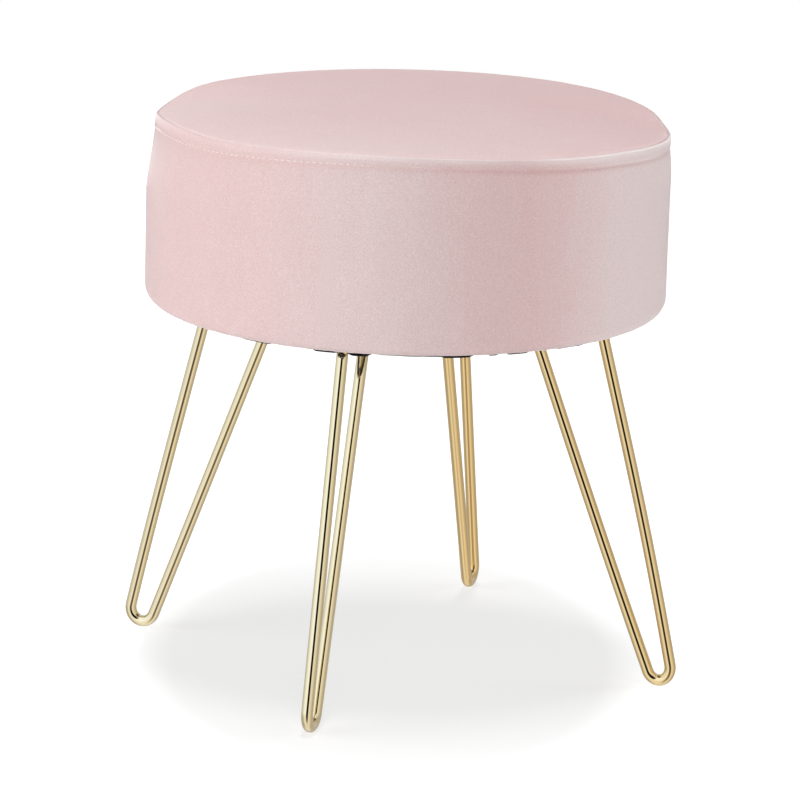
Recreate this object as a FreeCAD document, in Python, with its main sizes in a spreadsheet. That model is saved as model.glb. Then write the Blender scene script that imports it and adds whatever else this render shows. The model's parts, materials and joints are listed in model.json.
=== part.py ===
import FreeCAD, Part
import math
import os

import Sketcher

# Round vanity stool: an upholstered drum seat on four hairpin legs. Millimetres, +Z up. The origin is
# on the floor under the middle of the seat, and the legs stand along +X, +Y, -X and -Y.

V = FreeCAD.Vector

# Driving dimensions: alias, value, meaning
SIZES = [
    ("seat_radius", 180.0, "outside of the velvet round the drum"),
    ("drum_depth", 130.7, "lowest face of the hem up to the rim seam"),
    ("crown_rise", 5.8, "height of the seat's middle over its rim"),
    ("rim_draw_in", 3.5, "how far the rim seam lies inside the drum's side"),
    ("shoulder_depth", 38.0, "height over which the side curves in to the rim seam"),
    ("stitch_drop", 7.5, "rim seam down to the row of topstitching"),
    ("stitch_inset", 2.4, "how far the topstitching lies inside the drum's side"),
    ("welt_radius", 8.0, "bulge of the folded seam between topstitching and rim"),
    ("thread_diameter", 0.8, "topstitching thread"),
    ("cover_thickness", 1.2, "velvet with its backing"),
    ("plate_hem_gap", 0.3, "leg plate's corner out to the step in the black cloth"),
    ("wadding_thickness", 7.4, "foam wrap between wall and velvet"),
    ("lay_gap", 0.2, "air left between pieces laid against each other"),
    ("hoop_thickness", 3.0, "bent hardboard wall"),
    ("hoop_open_angle", 0.6, "butt joint of the hoop, in degrees"),
    ("foam_depth", 40.0, "seat board up to the rim seam"),
    ("foam_edge_round", 9.0, "rounding of the foam's top edge"),
    ("seat_board_thickness", 12.0, "plywood under the seat foam"),
    ("base_board_thickness", 15.0, "plywood that carries the legs"),
    ("post_side", 35.0, "square timber post between the boards"),
    ("post_edge_gap", 32.3, "edge of the base board in to a post's outer face"),
    ("dust_cover_thickness", 0.5, "black cloth under the base board"),
    ("dust_cover_margin", 0.8, "edge of the base board in to the edge of the black cloth"),
    ("dust_cover_step", 2.2, "run over which the black cloth steps down over the hem"),
    ("leg_height", 255.0, "floor up to the underside of the leg plates"),
    ("plate_edge_gap", 19.1, "edge of the base board in to a leg plate's outer end"),
    ("rod_spacing", 50.9, "between the two rod centres at the leg plate"),
    ("rod_diameter", 8.0, "round steel rod of the legs"),
    ("foot_radius", 189.9, "axis of the stool to the centre of the foot's bend"),
    ("foot_bend_radius", 10.1, "centreline radius of the foot's bend"),
    ("plate_length", 70.0, "leg plate, measured along the stool's radius"),
    ("plate_width", 56.0, "leg plate, measured across the stool's radius"),
    ("plate_thickness", 3.0, "leg plate"),
    ("plate_corner", 8.0, "corner radius of the leg plate"),
    ("hole_pitch_length", 52.0, "between leg plate holes along the stool's radius"),
    ("hole_pitch_width", 38.0, "between leg plate holes across the stool's radius"),
    ("leg_screw_diameter", 6.0, "leg screw"),
    ("leg_screw_length", 16.0, "leg screw under its head"),
    ("leg_screw_head_diameter", 12.0, "leg screw head"),
    ("leg_screw_head_height", 3.3, "leg screw head"),
    ("leg_screw_socket", 4.0, "hexagon socket across its flats"),
    ("leg_screw_socket_depth", 2.0, "hexagon socket"),
    ("screw_clearance", 0.25, "air round a screw where it passes through a hole"),
    ("thread_clearance", 0.1, "air round a screw in its thread"),
    ("tee_flange_diameter", 19.0, "tee nut flange"),
    ("tee_flange_thickness", 1.2, "tee nut flange"),
    ("tee_barrel_diameter", 8.0, "tee nut barrel"),
    ("tee_barrel_length", 10.0, "tee nut barrel under its flange"),
    ("wood_screw_diameter", 4.0, "screw through a board into a post"),
    ("wood_screw_length", 35.0, "screw under its head"),
    ("wood_screw_head_diameter", 8.0, "head, sunk flush in its board"),
    ("wood_screw_head_height", 3.0, "head, sunk flush in its board"),
    ("staple_crown", 10.0, "staple crown"),
    ("staple_wire", 0.6, "staple wire, thickness of the crown"),
    ("staple_wire_width", 0.9, "staple wire, width"),
    ("staple_leg", 7.0, "staple legs above the crown"),
    ("hem_staple_inset", 5.5, "edge of the base board in to the hem staples"),
    ("dust_staple_inset", 10.5, "edge of the base board in to the black cloth's staples"),
]

LEG_AZIMUTHS = {"right": 0, "back": 90, "left": 180, "front": 270}
POST_AZIMUTHS = {"back_right": 45, "back_left": 135, "front_left": 225, "front_right": 315}
HEM_STAPLE_COUNT = 28
DUST_STAPLE_COUNT = 20
HEAD_TAPER = -22.0  # degrees that a leg screw's domed head leans in

# Sizes that follow from the driving ones. Radii run out from the stool's axis, heights up from the floor.
board_radius = ("(dims.seat_radius - dims.cover_thickness - dims.wadding_thickness"
                " - dims.hoop_thickness - 3 * dims.lay_gap)")
hoop_inner_radius = f"({board_radius} + dims.lay_gap)"
hoop_outer_radius = f"({hoop_inner_radius} + dims.hoop_thickness)"
wadding_inner_radius = f"({hoop_outer_radius} + dims.lay_gap)"
wadding_outer_radius = f"({wadding_inner_radius} + dims.wadding_thickness)"
rim_radius = "(dims.seat_radius - dims.rim_draw_in)"
hem_round = f"(dims.seat_radius - {board_radius})"
hem_round_inside = f"({hem_round} - dims.cover_thickness)"
dust_cover_radius = f"({board_radius} - dims.dust_cover_margin)"
post_circle_radius = f"({board_radius} - dims.post_edge_gap - dims.post_side / 2)"
leg_top_radius = f"({board_radius} - dims.plate_edge_gap - dims.plate_length / 2)"
corner_across = f"({leg_top_radius} + dims.plate_length / 2 - dims.plate_corner)"
corner_up = "(dims.plate_width / 2 - dims.plate_corner)"
plate_reach = (f"(sqrt({corner_across} * {corner_across} + {corner_up} * {corner_up})"
               " + dims.plate_corner)")
step_inner_radius = f"({plate_reach} + dims.plate_hem_gap)"
step_outer_radius = f"({step_inner_radius} + dims.dust_cover_step)"
hem_inner_radius = f"({step_outer_radius} + dims.lay_gap)"

base_board_bottom = "(dims.leg_height + dims.plate_thickness + dims.dust_cover_thickness)"
base_board_top = f"({base_board_bottom} + dims.base_board_thickness)"
hem_bottom = f"({base_board_bottom} - dims.cover_thickness)"
rim_height = f"({hem_bottom} + dims.drum_depth)"
stitch_height = f"({rim_height} - dims.stitch_drop)"
seat_board_top = f"({rim_height} - dims.foam_depth)"
seat_board_bottom = f"({seat_board_top} - dims.seat_board_thickness)"
post_length = f"({seat_board_bottom} - {base_board_top})"
hem_staple_bottom = f"({hem_bottom} - dims.staple_wire)"
dust_ring_bottom = f"({hem_staple_bottom} - dims.dust_cover_thickness)"
dust_staple_bottom = f"({dust_ring_bottom} - dims.staple_wire)"
hem_staple_bite = "(dims.staple_leg - dims.cover_thickness)"
dust_staple_bite = f"({hem_staple_bite} - dims.staple_wire - dims.dust_cover_thickness)"

doc = FreeCAD.newDocument("vanity_stool")
sheet = doc.addObject("Spreadsheet::Sheet", "dims")
for row, (alias, value, meaning) in enumerate(SIZES, start=1):
    sheet.set(f"A{row}", meaning)
    sheet.set(f"B{row}", str(value))
    sheet.setAlias(f"B{row}", alias)
doc.recompute()

sub_parts = []


def measure(expression):
    """The present value of an expression, as a plain number."""
    return float(sheet.evalExpression(expression))


def arc_radius(run, rise):
    """Radius of the arc that leaves one end square to its rise and ends run further and rise lower."""
    return f"(({run}) * ({run}) + ({rise}) * ({rise})) / (2 * ({rise}))"


def origin_feature(body, role):
    return next(feature for feature in body.Origin.OriginFeatures if feature.Role == role)


def new_body(label, height="0", azimuth=0.0):
    """A body turned about the stool's axis by azimuth degrees and raised to height."""
    body = doc.addObject("PartDesign::Body", label)
    body.Label = label
    body.AllowCompound = True
    body.Placement = FreeCAD.Placement(V(0, 0, 0), FreeCAD.Rotation(V(0, 0, 1), azimuth))
    body.setExpression("Placement.Base.z", height)
    sub_parts.append(body)
    return body


def new_sketch(body, role, height=None):
    """A sketch on one of the body's own origin planes, or at a height above it."""
    sketch = body.newObject("Sketcher::SketchObject", "sketch")
    sketch.AttachmentSupport = (origin_feature(body, role), [""])
    sketch.MapMode = "FlatFace"
    if height:
        sketch.setExpression("AttachmentOffset.Base.z", height)
    return sketch


def fix_point(sketch, geometry, position, across, up):
    """Tie a sketch point to two expressions, or to an axis where one of them is zero."""
    for kind, axis, expression in (("DistanceX", -2, across), ("DistanceY", -1, up)):
        if expression == "0":
            sketch.addConstraint(Sketcher.Constraint("PointOnObject", geometry, position, axis))
            continue
        constraint = Sketcher.Constraint(kind, -1, 1, geometry, position, measure(expression))
        index = sketch.addConstraint(constraint)
        sketch.setExpression(f"Constraints[{index}]", expression)


def draw_outline(sketch, corners, arcs=None):
    """Draw a closed outline. arcs gives a side's radius, by the side's first corner. A side bulges
    to the right of its way round, or to the left where the radius is given with the word left."""
    arcs = arcs or {}
    points = [V(measure(across), measure(up), 0) for across, up in corners]
    sides = []
    for index, start in enumerate(points):
        end = points[(index + 1) % len(points)]
        if index not in arcs:
            sides.append((sketch.addGeometry(Part.LineSegment(start, end), False), 1, 2))
            continue
        radius, side = arcs[index]
        chord = end.sub(start)
        reach = measure(radius)
        sagitta = reach - math.sqrt(reach ** 2 - (chord.Length / 2) ** 2)
        turn = 1 if side == "right" else -1
        outward = V(chord.y, -chord.x, 0).normalize().multiply(turn * sagitta)
        middle = start.add(end).multiply(0.5).add(outward)
        geometry = sketch.addGeometry(Part.Arc(start, middle, end), False)
        to_first = sketch.getPoint(geometry, 1).distanceToPoint(start)
        to_last = sketch.getPoint(geometry, 2).distanceToPoint(start)
        sides.append((geometry, 1, 2) if to_first < to_last else (geometry, 2, 1))
    for index, (geometry, first, last) in enumerate(sides):
        follower, follower_first, _ = sides[(index + 1) % len(sides)]
        sketch.addConstraint(Sketcher.Constraint("Coincident", geometry, last, follower, follower_first))
        fix_point(sketch, geometry, first, *corners[index])
        if index in arcs:
            radius = arcs[index][0]
            constraint = sketch.addConstraint(Sketcher.Constraint("Radius", geometry, measure(radius)))
            sketch.setExpression(f"Constraints[{constraint}]", radius)


def draw_circle(sketch, across, up, diameter):
    centre = V(measure(across), measure(up), 0)
    geometry = sketch.addGeometry(Part.Circle(centre, V(0, 0, 1), measure(diameter) / 2), False)
    fix_point(sketch, geometry, 3, across, up)
    constraint = sketch.addConstraint(Sketcher.Constraint("Diameter", geometry, measure(diameter)))
    sketch.setExpression(f"Constraints[{constraint}]", diameter)


def draw_rectangle(sketch, across, up, width, height):
    """Draw a rectangle round a middle point."""
    left, right = f"{across} - {width} / 2", f"{across} + {width} / 2"
    low, high = f"{up} - {height} / 2", f"{up} + {height} / 2"
    draw_outline(sketch, [(left, low), (right, low), (right, high), (left, high)])


def revolve(body, sketch, angle="360"):
    feature = body.newObject("PartDesign::Revolution", "turned_form")
    feature.Profile = sketch
    feature.ReferenceAxis = (sketch, ["V_Axis"])
    feature.setExpression("Angle", angle)
    doc.recompute()
    return feature


def pad(body, sketch, length, down=False, taper=0.0):
    feature = body.newObject("PartDesign::Pad", "raised_form")
    feature.Profile = sketch
    feature.setExpression("Length", length)
    feature.Reversed = down
    feature.TaperAngle = taper
    doc.recompute()
    return feature


def pocket(body, sketch, length=None, up=False):
    """Cut a sketch away, to a depth below its plane or above it, or right through both ways."""
    before = body.Shape.Volume
    feature = body.newObject("PartDesign::Pocket", "cut_form")
    feature.Profile = sketch
    if length:
        feature.setExpression("Length", length)
        feature.Reversed = up
    else:
        feature.Type = "ThroughAll"
        feature.Midplane = True
    doc.recompute()
    if not body.Shape.Volume < before:
        raise RuntimeError(f"{body.Label}: a cut removed nothing")
    return feature


def repeat_round(body, features, count):
    """Repeat features evenly round the stool's axis."""
    pattern = body.newObject("PartDesign::PolarPattern", "round_pattern")
    pattern.Originals = features
    pattern.Axis = (origin_feature(body, "Z_Axis"), [""])
    pattern.Angle = 360
    pattern.Occurrences = count
    body.Tip = pattern
    doc.recompute()
    return pattern


def plate_holes():
    """Middles of the four holes of the leg plate that lies along +X."""
    for length_side in ("-", "+"):
        for width_side in ("-", "+"):
            yield (f"{leg_top_radius} {length_side} dims.hole_pitch_length / 2",
                   f"0 {width_side} dims.hole_pitch_width / 2")


def plate_hole_sketch(body, *diameters, height=None):
    sketch = new_sketch(body, "XY_Plane", height)
    for across, up in plate_holes():
        for diameter in diameters:
            draw_circle(sketch, across, up, diameter)
    return sketch


def make_top_cover():
    """Round velvet top, crowned over the foam and turned down into the rim seam."""
    body = new_body("top_cover", rim_height)
    flat_radius = f"({rim_radius} - dims.cover_thickness)"
    crown_arc = arc_radius(flat_radius, "dims.crown_rise")
    sketch = new_sketch(body, "XZ_Plane")
    draw_outline(sketch, [
        ("0", "dims.crown_rise"),
        (flat_radius, "0"),
        (rim_radius, "0"),
        (flat_radius, "dims.cover_thickness"),
        ("0", "dims.crown_rise + dims.cover_thickness"),
    ], {0: (crown_arc, "left"), 2: ("dims.cover_thickness", "right"), 3: (crown_arc, "right")})
    revolve(body, sketch)


def staple_leg_sketch(body, inset, height=None):
    """The two legs of one staple, cut across, for the staple that lies over +X."""
    sketch = new_sketch(body, "XY_Plane", height)
    for side in ("-", "+"):
        middle = f"0 {side} (dims.staple_crown - dims.staple_wire) / 2"
        draw_rectangle(sketch, f"({board_radius} - {inset})", middle,
                       "dims.staple_wire_width", "dims.staple_wire")
    return sketch


def make_side_cover():
    """Velvet band: flat hem, round bottom edge, upright side, shoulder, topstitched fold and rim seam."""
    body = new_body("side_cover", hem_bottom)
    inside_radius = "(dims.seat_radius - dims.cover_thickness)"
    inside_rim = f"({rim_radius} - dims.cover_thickness)"
    shoulder = "(dims.drum_depth - dims.shoulder_depth)"
    stitch = "(dims.drum_depth - dims.stitch_drop)"
    stitch_run = "(dims.shoulder_depth - dims.stitch_drop)"
    sketch = new_sketch(body, "XZ_Plane")
    draw_outline(sketch, [
        (hem_inner_radius, "0"),
        (board_radius, "0"),
        ("dims.seat_radius", hem_round),
        ("dims.seat_radius", shoulder),
        ("dims.seat_radius - dims.stitch_inset", stitch),
        (rim_radius, "dims.drum_depth"),
        (inside_rim, "dims.drum_depth"),
        (inside_radius, shoulder),
        (inside_radius, hem_round),
        (board_radius, "dims.cover_thickness"),
        (hem_inner_radius, "dims.cover_thickness"),
    ], {
        1: (hem_round, "right"),
        3: (arc_radius(stitch_run, "dims.stitch_inset"), "right"),
        4: ("dims.welt_radius", "right"),
        6: (arc_radius("dims.shoulder_depth", "dims.rim_draw_in"), "left"),
        8: (hem_round_inside, "left"),
    })
    revolve(body, sketch)
    for inset, count in (("dims.hem_staple_inset", HEM_STAPLE_COUNT),
                         ("dims.dust_staple_inset", DUST_STAPLE_COUNT)):
        slots = pocket(body, staple_leg_sketch(body, inset), "dims.cover_thickness", up=True)
        repeat_round(body, [slots], count)


def make_topstitch():
    """The thread that lies in the crease under the rim."""
    body = new_body("topstitch", stitch_height)
    middle = "(dims.seat_radius - dims.stitch_inset + dims.thread_diameter / 2 + dims.lay_gap)"
    sketch = new_sketch(body, "XZ_Plane")
    draw_circle(sketch, middle, "0", "dims.thread_diameter")
    revolve(body, sketch)


def make_seat_foam():
    """Seat cushion: crowned like the cover, with a rounded top edge."""
    body = new_body("seat_foam", seat_board_top)
    shelf = f"({hoop_outer_radius} - dims.foam_edge_round)"
    edge_height = "(dims.foam_depth - dims.lay_gap - dims.foam_edge_round)"
    top_edge = "(dims.foam_depth - dims.lay_gap)"
    sketch = new_sketch(body, "XZ_Plane")
    draw_outline(sketch, [
        ("0", "0"),
        (hoop_outer_radius, "0"),
        (hoop_outer_radius, edge_height),
        (shelf, top_edge),
        ("0", f"{top_edge} + dims.crown_rise"),
    ], {2: ("dims.foam_edge_round", "right"), 3: (arc_radius(shelf, "dims.crown_rise"), "right")})
    revolve(body, sketch)


def make_side_wadding():
    """Foam wrap: fills the space between the wall and the velvet, from the hem up to the rim."""
    body = new_body("side_wadding", hem_bottom)
    round_radius = f"({hem_round_inside} - dims.lay_gap)"
    inside_step = f"({wadding_inner_radius} - {board_radius})"
    inside_low = f"({hem_round} - sqrt({round_radius} * {round_radius} - {inside_step} * {inside_step}))"
    shoulder = "(dims.drum_depth - dims.shoulder_depth)"
    sketch = new_sketch(body, "XZ_Plane")
    draw_outline(sketch, [
        (wadding_inner_radius, inside_low),
        (wadding_outer_radius, hem_round),
        (wadding_outer_radius, shoulder),
        (f"{wadding_outer_radius} - dims.rim_draw_in", "dims.drum_depth - dims.lay_gap"),
        (wadding_inner_radius, "dims.drum_depth - dims.lay_gap"),
    ], {
        0: (round_radius, "right"),
        2: (arc_radius("(dims.shoulder_depth - dims.lay_gap)", "dims.rim_draw_in"), "right"),
    })
    revolve(body, sketch)


def make_wall_hoop():
    """Hardboard strip bent round both boards, with its ends butted at the back."""
    outside_step = f"({hoop_outer_radius} - {board_radius})"
    clear_round = f"({hem_round_inside} - dims.lay_gap)"
    low = f"({hem_round} - sqrt({clear_round} * {clear_round} - {outside_step} * {outside_step}))"
    high = f"({seat_board_top} - {hem_bottom})"
    body = new_body("wall_hoop", hem_bottom, azimuth=LEG_AZIMUTHS["back"])
    sketch = new_sketch(body, "XZ_Plane")
    draw_outline(sketch, [
        (hoop_inner_radius, low),
        (hoop_outer_radius, low),
        (hoop_outer_radius, high),
        (hoop_inner_radius, high),
    ])
    revolve(body, sketch, "360 - dims.hoop_open_angle")


def board_disc(body, thickness):
    sketch = new_sketch(body, "XY_Plane")
    draw_circle(sketch, "0", "0", f"2 * {board_radius}")
    pad(body, sketch, thickness)


def post_screw_sketch(body, diameter, height=None):
    """One screw's round section, over the post between +X and +Y."""
    diagonal = f"{post_circle_radius} * sqrt(0.5)"
    sketch = new_sketch(body, "XY_Plane", height)
    draw_circle(sketch, diagonal, diagonal, diameter)
    return sketch


def cut_post_screw_holes(body, head_height, head_up):
    """Four holes with sunk seats for the heads, over or under the posts."""
    through = pocket(body, post_screw_sketch(body, "dims.wood_screw_diameter + 2 * dims.screw_clearance"))
    repeat_round(body, [through], len(POST_AZIMUTHS))
    seat_diameter = "dims.wood_screw_head_diameter + 2 * dims.screw_clearance"
    seat_sketch = post_screw_sketch(body, seat_diameter, head_height)
    seat = pocket(body, seat_sketch, "dims.wood_screw_head_height", up=head_up)
    repeat_round(body, [seat], len(POST_AZIMUTHS))


def make_seat_board():
    """Plywood disc under the seat foam, screwed down on the posts."""
    body = new_body("seat_board", seat_board_bottom)
    board_disc(body, "dims.seat_board_thickness")
    cut_post_screw_holes(body, "dims.seat_board_thickness", head_up=False)


def make_base_board():
    """Plywood disc that the legs, the posts, the hem and the black cloth are fixed to."""
    body = new_body("base_board", base_board_bottom)
    board_disc(body, "dims.base_board_thickness")
    cut_post_screw_holes(body, "0", head_up=True)
    tee_holes = pocket(body, plate_hole_sketch(body, "dims.tee_barrel_diameter + 2 * dims.thread_clearance"))
    repeat_round(body, [tee_holes], len(LEG_AZIMUTHS))
    for inset, depth, count in (("dims.hem_staple_inset", hem_staple_bite, HEM_STAPLE_COUNT),
                                ("dims.dust_staple_inset", dust_staple_bite, DUST_STAPLE_COUNT)):
        slots = pocket(body, staple_leg_sketch(body, inset), depth, up=True)
        repeat_round(body, [slots], count)


def make_dust_cover():
    """Black cloth under the base board: it steps down over the hem, and the leg plates press it flat."""
    body = new_body("dust_cover", dust_ring_bottom)
    drop = "(dims.cover_thickness + dims.staple_wire)"
    sketch = new_sketch(body, "XZ_Plane")
    draw_outline(sketch, [
        ("0", drop),
        (step_inner_radius, drop),
        (step_outer_radius, "0"),
        (dust_cover_radius, "0"),
        (dust_cover_radius, "dims.dust_cover_thickness"),
        (step_outer_radius, "dims.dust_cover_thickness"),
        (step_inner_radius, f"{drop} + dims.dust_cover_thickness"),
        ("0", f"{drop} + dims.dust_cover_thickness"),
    ])
    revolve(body, sketch)
    screw_holes = pocket(body, plate_hole_sketch(body, "dims.leg_screw_diameter + 2 * dims.screw_clearance"))
    repeat_round(body, [screw_holes], len(LEG_AZIMUTHS))
    slots = pocket(body, staple_leg_sketch(body, "dims.dust_staple_inset"))
    repeat_round(body, [slots], DUST_STAPLE_COUNT)


def make_staples(label, height, inset, count):
    """A ring of staples, each with its crown under the cloth and two legs up in the base board."""
    body = new_body(label, height)
    crown_sketch = new_sketch(body, "XY_Plane")
    draw_rectangle(crown_sketch, f"({board_radius} - {inset})", "0",
                   "dims.staple_wire_width", "dims.staple_crown")
    crown = pad(body, crown_sketch, "dims.staple_wire")
    legs = pad(body, staple_leg_sketch(body, inset), "dims.staple_wire + dims.staple_leg")
    repeat_round(body, [crown, legs], count)


def make_board_screws(label, height, head_down):
    """Four wood screws with flat heads flush with the outer face of a board, each into a post."""
    body = new_body(label, height)
    head = pad(body, post_screw_sketch(body, "dims.wood_screw_head_diameter"),
               "dims.wood_screw_head_height", down=not head_down)
    shank = pad(body, post_screw_sketch(body, "dims.wood_screw_diameter"),
                "dims.wood_screw_head_height + dims.wood_screw_length", down=not head_down)
    repeat_round(body, [head, shank], len(POST_AZIMUTHS))


def make_post(name, azimuth):
    """Timber post between the boards, with a pilot hole in each end."""
    body = new_body(f"post_{name}", base_board_top, azimuth)
    section = new_sketch(body, "XY_Plane")
    draw_rectangle(section, post_circle_radius, "0", "dims.post_side", "dims.post_side")
    pad(body, section, post_length)
    reach = "dims.wood_screw_head_height + dims.wood_screw_length"
    for height, board, up in (("0", "dims.base_board_thickness", True),
                              (post_length, "dims.seat_board_thickness", False)):
        pilot = new_sketch(body, "XY_Plane", height)
        draw_circle(pilot, post_circle_radius, "0", "dims.wood_screw_diameter + 2 * dims.thread_clearance")
        pocket(body, pilot, f"{reach} - {board}", up=up)


def tangent_angle(point, centre, radius, side):
    """Direction, seen from an arc's centre, in which a line from point touches the arc."""
    away = point.sub(centre)
    return math.atan2(away.y, away.x) + side * math.acos(radius / away.Length)


def make_leg(name, azimuth):
    """Hairpin leg: one round rod bent at the foot, with both ends cut level at the plate."""
    body = new_body(f"leg_{name}", "0", azimuth)
    ends_height = "(dims.leg_height + dims.plate_thickness)"
    outer_end = (f"{leg_top_radius} + dims.rod_spacing / 2", ends_height)
    inner_end = (f"{leg_top_radius} - dims.rod_spacing / 2", ends_height)
    bend_centre = ("dims.foot_radius", "dims.foot_bend_radius + dims.rod_diameter / 2")
    outer, inner, centre = (V(measure(across), measure(up), 0)
                            for across, up in (outer_end, inner_end, bend_centre))
    radius = measure("dims.foot_bend_radius")
    outer_angle = tangent_angle(outer, centre, radius, -1)
    inner_angle = tangent_angle(inner, centre, radius, 1)
    outer_touch = centre.add(V(math.cos(outer_angle), math.sin(outer_angle), 0).multiply(radius))
    inner_touch = centre.add(V(math.cos(inner_angle), math.sin(inner_angle), 0).multiply(radius))

    path = new_sketch(body, "XZ_Plane")
    outer_rod = path.addGeometry(Part.LineSegment(outer, outer_touch), False)
    circle = Part.Circle(centre, V(0, 0, 1), radius)
    bend = path.addGeometry(Part.ArcOfCircle(circle, inner_angle, outer_angle + 2 * math.pi), False)
    inner_rod = path.addGeometry(Part.LineSegment(inner_touch, inner), False)
    fix_point(path, outer_rod, 1, *outer_end)
    fix_point(path, inner_rod, 2, *inner_end)
    fix_point(path, bend, 3, *bend_centre)
    constraint = path.addConstraint(Sketcher.Constraint("Radius", bend, radius))
    path.setExpression(f"Constraints[{constraint}]", "dims.foot_bend_radius")
    path.addConstraint(Sketcher.Constraint("Tangent", outer_rod, 2, bend, 2))
    path.addConstraint(Sketcher.Constraint("Tangent", inner_rod, 1, bend, 1))
    doc.recompute()

    section = body.newObject("Sketcher::SketchObject", "sketch")
    section.AttachmentSupport = [(path, "Edge1"), (path, "Vertex1")]
    section.MapMode = "NormalToEdge"
    draw_circle(section, "0", "0", "dims.rod_diameter")
    rod = body.newObject("PartDesign::AdditivePipe", "bent_rod")
    rod.Profile = section
    rod.Spine = path
    doc.recompute()

    trim = new_sketch(body, "XY_Plane", "dims.leg_height")
    draw_rectangle(trim, leg_top_radius, "0", "dims.rod_spacing + 4 * dims.rod_diameter",
                   "4 * dims.rod_diameter")
    pocket(body, trim, "2 * (dims.plate_thickness + dims.rod_diameter)", up=True)


def make_leg_plate(name, azimuth):
    """Steel plate with rounded corners and four holes, welded across the two ends of the rod."""
    body = new_body(f"leg_plate_{name}", "dims.leg_height", azimuth)
    near = f"({leg_top_radius} - dims.plate_length / 2)"
    far = f"({leg_top_radius} + dims.plate_length / 2)"
    low = "(0 - dims.plate_width / 2)"
    high = "(dims.plate_width / 2)"
    corner = "dims.plate_corner"
    sketch = new_sketch(body, "XY_Plane")
    draw_outline(sketch, [
        (f"{near} + {corner}", low),
        (f"{far} - {corner}", low),
        (far, f"{low} + {corner}"),
        (far, f"{high} - {corner}"),
        (f"{far} - {corner}", high),
        (f"{near} + {corner}", high),
        (near, f"{high} - {corner}"),
        (near, f"{low} + {corner}"),
    ], {side: (corner, "right") for side in (1, 3, 5, 7)})
    pad(body, sketch, "dims.plate_thickness")
    pocket(body, plate_hole_sketch(body, "dims.leg_screw_diameter + 2 * dims.screw_clearance"))


def make_leg_screws():
    """Machine screws up through the leg plates, with domed heads and hexagon sockets."""
    body = new_body("leg_screws", "dims.leg_height")
    shanks = pad(body, plate_hole_sketch(body, "dims.leg_screw_diameter"), "dims.leg_screw_length")
    heads = pad(body, plate_hole_sketch(body, "dims.leg_screw_head_diameter"),
                "dims.leg_screw_head_height", down=True, taper=HEAD_TAPER)
    socket_sketch = new_sketch(body, "XY_Plane", "0 - dims.leg_screw_head_height")
    reach = "dims.leg_screw_socket / sqrt(3)"
    for across, up in plate_holes():
        draw_outline(socket_sketch, [(f"{across} + {reach} * cos({60 * turn} deg)",
                                      f"{up} + {reach} * sin({60 * turn} deg)") for turn in range(6)])
    sockets = pocket(body, socket_sketch, "dims.leg_screw_socket_depth", up=True)
    repeat_round(body, [shanks, heads, sockets], len(LEG_AZIMUTHS))


def make_tee_nuts():
    """Threaded nuts pressed into the base board from above, one over each leg screw."""
    body = new_body("tee_nuts", base_board_top)
    bore = "dims.leg_screw_diameter + 2 * dims.thread_clearance"
    flanges = pad(body, plate_hole_sketch(body, "dims.tee_flange_diameter", bore),
                  "dims.tee_flange_thickness")
    barrels = pad(body, plate_hole_sketch(body, "dims.tee_barrel_diameter", bore),
                  "dims.tee_barrel_length", down=True)
    repeat_round(body, [flanges, barrels], len(LEG_AZIMUTHS))


make_top_cover()
make_side_cover()
make_topstitch()
make_seat_foam()
make_side_wadding()
make_wall_hoop()
make_seat_board()
make_base_board()
make_dust_cover()
make_staples("hem_staples", hem_staple_bottom, "dims.hem_staple_inset", HEM_STAPLE_COUNT)
make_staples("dust_cover_staples", dust_staple_bottom, "dims.dust_staple_inset", DUST_STAPLE_COUNT)
make_board_screws("seat_board_screws", seat_board_top, head_down=False)
make_board_screws("base_board_screws", base_board_bottom, head_down=True)
for post_name, post_azimuth in POST_AZIMUTHS.items():
    make_post(post_name, post_azimuth)
for leg_name, leg_azimuth in LEG_AZIMUTHS.items():
    make_leg(leg_name, leg_azimuth)
    make_leg_plate(leg_name, leg_azimuth)
make_leg_screws()
make_tee_nuts()
doc.recompute()

for item in doc.Objects:
    if "Invalid" in item.State or "Error" in item.State:
        raise RuntimeError(f"{item.Name} did not build: {item.State}")
os.makedirs("parts", exist_ok=True)
for sub_part in sub_parts:
    if sub_part.Shape.isNull() or not sub_part.Shape.isValid():
        raise RuntimeError(f"{sub_part.Label} has no sound shape")
    sub_part.Shape.exportStep(f"parts/{sub_part.Label}.step")
    print(f"{sub_part.Label}: {len(sub_part.Shape.Solids)} solids, {sub_part.Shape.Volume / 1000:.2f} cm3")
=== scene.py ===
"""The looks of the round velvet vanity stool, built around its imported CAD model. Lengths are in metres."""
import json
import math

import bpy
from mathutils import Matrix, Vector, noise


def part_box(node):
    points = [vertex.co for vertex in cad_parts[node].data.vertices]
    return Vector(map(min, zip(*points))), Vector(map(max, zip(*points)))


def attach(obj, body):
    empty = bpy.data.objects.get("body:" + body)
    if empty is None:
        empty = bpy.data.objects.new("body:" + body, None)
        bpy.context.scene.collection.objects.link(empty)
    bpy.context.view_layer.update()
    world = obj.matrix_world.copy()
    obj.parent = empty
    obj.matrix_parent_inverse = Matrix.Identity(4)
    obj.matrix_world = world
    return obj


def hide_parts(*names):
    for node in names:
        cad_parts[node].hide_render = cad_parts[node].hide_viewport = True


MM = 0.001

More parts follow.
